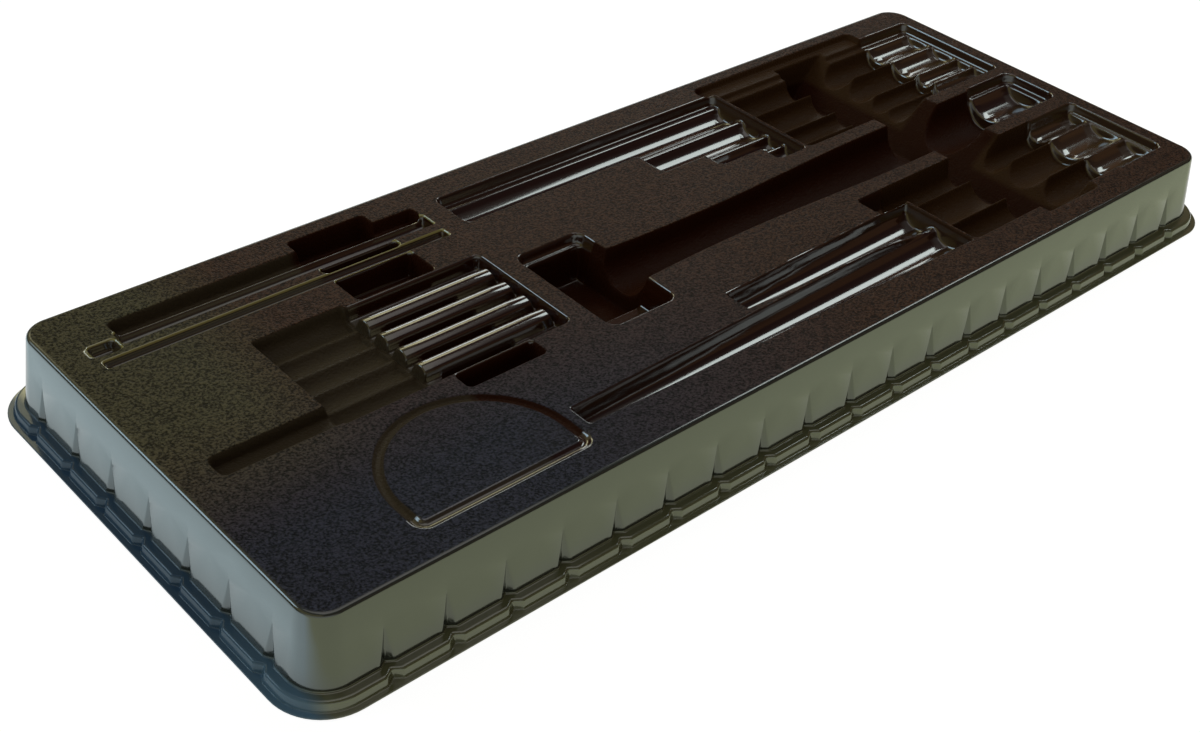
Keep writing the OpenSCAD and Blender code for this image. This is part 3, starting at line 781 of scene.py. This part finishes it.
# The flutes are pressed, and the closed sheet is thinned to the points that its form needs. The
# result is the tray itself, one plain mesh that stands in for the solid tray.
most_triangles = 186000
flutes = draft.modifiers.new("flutes", "NODES")
flutes.node_group = press_flutes_tree()
sizes = {"Tip Height": flute_tip_h * mm, "Ledge Height": ledge_h * mm,
         "Flute Width": flute_width * mm, "Flute Depth": flute_depth * mm, "Finish": finish}
for socket in flutes.node_group.interface.items_tree:
    if socket.name in sizes and socket.in_out == "INPUT":
        flutes[socket.identifier] = sizes[socket.name]
thinning = draft.modifiers.new("thinning", "DECIMATE")
thinning.use_collapse_triangulate = True
thinning.ratio = most_triangles / sum(len(face) - 2 for face in faces)
bpy.context.view_layer.update()
sheet_mesh = bpy.data.meshes.new_from_object(
    draft.evaluated_get(bpy.context.evaluated_depsgraph_get()))
bpy.data.objects.remove(draft)
sheet_mesh.name = "formed_tray"
sheet = bpy.data.objects.new("formed_tray", sheet_mesh)
scene.collection.objects.link(sheet)

# The deck's points take their normals from the mould's form, so that the channels shine evenly,
# and level faces keep their own.
level = 0.9998
slope_x, slope_y = np.gradient(top, grid_step)
place = np.empty(len(sheet_mesh.vertices) * 3)
sheet_mesh.vertices.foreach_get("co", place)
place = place.reshape(-1, 3) / mm


def sampled(field):
    """A field's values under the sheet's points, blended between grid points."""
    i = np.clip((place[:, 0] + grid_half_x) / grid_step, 0, len(grid_x) - 1.001)
    j = np.clip((place[:, 1] + grid_half_y) / grid_step, 0, len(grid_y) - 1.001)
    i0, j0 = i.astype(int), j.astype(int)
    u, v = i - i0, j - j0
    return ((field[i0, j0] * (1 - u) + field[i0 + 1, j0] * u) * (1 - v)
            + (field[i0, j0 + 1] * (1 - u) + field[i0 + 1, j0 + 1] * u) * v)


normals = np.stack([-sampled(slope_x), -sampled(slope_y), np.ones(len(place))], axis=-1)
normals /= np.linalg.norm(normals, axis=1, keepdims=True)
within = (np.abs(place[:, 0]) <= grid_half_x) & (np.abs(place[:, 1]) <= grid_half_y)
nearer_top = np.abs(place[:, 2] - sampled(top)) < np.abs(place[:, 2] - sampled(under))
normals[~(within & nearer_top)] = 0
sheet_mesh.shade_smooth()
corners = np.empty(len(sheet_mesh.loops), dtype=int)
sheet_mesh.loops.foreach_get("vertex_index", corners)
face_normals = np.empty(len(sheet_mesh.polygons) * 3)
sheet_mesh.polygons.foreach_get("normal", face_normals)
face_normals = np.repeat(face_normals.reshape(-1, 3), 3, axis=0)
flat = np.abs(face_normals[:, 2]) > level
corner_normals = np.where(flat[:, None], face_normals, normals[corners])
sheet_mesh.normals_split_custom_set(corner_normals.tolist())
for name in ("flute_side", "flute_press", "wall_out"):
    sheet_mesh.attributes.remove(sheet_mesh.attributes[name])

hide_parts("tray")
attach(sheet, "root")


# The plain pale floor, which shows white and keeps the tray's shadow. In reflections it is cooler
# at the tray's left and greener at its front, as the photograph's walls show it.
floor_mesh = bpy.data.meshes.new("floor")
floor_reach, floor_z = 4.0, -0.0003
paper_colour, paper_glow, glow_share = (0.8, 0.8, 0.8, 1), 1.25, 0.75
grey_tint, left_tint = (0.75, 0.75, 0.75, 1), (1.10, 1.40, 1.50, 1)
front_tint, white_tint = (0.80, 0.88, 0.56, 1), (1, 1, 1, 1)
floor_mesh.from_pydata([(-floor_reach, -floor_reach, floor_z), (floor_reach, -floor_reach, floor_z),
                        (floor_reach, floor_reach, floor_z), (-floor_reach, floor_reach, floor_z)],
                       [], [(0, 1, 2, 3)])
floor = bpy.data.objects.new("floor", floor_mesh)
scene.collection.objects.link(floor)
paper = bpy.data.materials.new("pale_floor")
paper.use_nodes = True
tree = paper.node_tree
tree.nodes.clear()
light_path = tree.nodes.new("ShaderNodeLightPath")
camera_ray, glossy_ray, clear_ray = (
    Link(tree, light_path.outputs[name])
    for name in ("Is Camera Ray", "Is Glossy Ray", "Is Transmission Ray"))
seen = camera_ray.most(glossy_ray).most(clear_ray)
pale = seen.node("ShaderNodeBsdfDiffuse", (), {"Color": paper_colour})
spot = Link(tree, tree.nodes.new("ShaderNodeTexCoord").outputs["Object"])
left, front = (1 - beyond(seen.node("ShaderNodeSeparateXYZ", (), {0: spot}, output=k), edge, 0.03)
               for k, edge in ((0, low_corner[0]), (1, low_corner[1])))
tint = mixed(front, mixed(left, grey_tint, left_tint, seen), front_tint, seen)
glow = seen.node("ShaderNodeEmission", (), {"Color": mixed(camera_ray, tint, white_tint, seen),
                                            "Strength": paper_glow})
shown = seen.node("ShaderNodeMixShader", (), {0: seen * glow_share, 1: pale, 2: glow})
tree.links.new(shown.socket, tree.nodes.new("ShaderNodeOutputMaterial").inputs["Surface"])
floor_mesh.materials.append(paper)


# Soft light: a wide lamp overhead, a low window and a warm one behind the tray, a strip at its
# right that shines in the blade channels, and a cool one at its left. The room is dim and
# brown at eye level, olive at the back left, and a little lighter overhead.
def lamp(name, place, width, height, power, colour):
    """A rectangular lamp that faces the tray's middle."""
    light = bpy.data.lights.new(name, "AREA")
    light.shape, light.size, light.size_y = "RECTANGLE", width, height
    light.energy, light.color = power, colour
    made = bpy.data.objects.new(name, light)
    made.location = place
    made.rotation_euler = (-Vector(place)).to_track_quat("-Z", "Y").to_euler()
    scene.collection.objects.link(made)


lamp("overhead_lamp", (0.1, 0.0, 1.8), 1.6, 1.6, 5, (1.0, 0.98, 0.93))
lamp("window_lamp", (1.40, 1.80, 0.72), 1.4, 0.55, 7, (0.93, 1.0, 0.97))
lamp("warm_lamp", (0.60, 1.90, 1.45), 1.5, 0.5, 6, (1.0, 0.95, 0.60))
lamp("strip_lamp", (1.49, 0.46, 1.56), 0.75, 0.7, 8, (0.90, 1.0, 0.97))
lamp("side_lamp", (-1.2, 1.2, 1.1), 0.7, 0.7, 6, (0.55, 0.8, 1.0))

room_low, room_brown = (0.02, 0.02, 0.02, 1), (0.13, 0.075, 0.045, 1)
room_mid, room_olive = (0.034, 0.030, 0.034, 1), (0.36, 0.32, 0.15, 1)
room_top, room_near = (0.10, 0.10, 0.095, 1), (0.62, 0.68, 0.64, 1)
room = bpy.data.worlds.new("room")
room.use_nodes = True
scene.world = room
tree = room.node_tree
tree.nodes.clear()
facing = Link(tree, tree.nodes.new("ShaderNodeTexCoord").outputs["Generated"])
ahead, aside, rise = (facing.node("ShaderNodeSeparateXYZ", (), {0: facing}, output=k)
                      for k in range(3))
above_low = beyond(rise, 0.3, 0.2)
back_left = beyond(aside - ahead * 1.4, 0, 0.05) * above_low
behind = beyond(0 - ahead - aside, 0.9, 0.6) * (1 - beyond(rise, 0.35, 0.1))
room_colour = mixed(above_low, room_low, room_brown, facing)
room_colour = mixed(beyond(rise, 0.56, 0.06), room_colour, room_mid, facing)
room_colour = mixed(back_left, room_colour, room_olive, facing)
room_colour = mixed(beyond(rise, 0.78, 0.1), room_colour, room_top, facing)
room_colour = mixed(behind, room_colour, room_near, facing)
lit = facing.node("ShaderNodeBackground", (), {"Color": room_colour, "Strength": 1.0})
tree.links.new(lit.socket, tree.nodes.new("ShaderNodeOutputWorld").inputs["Surface"])
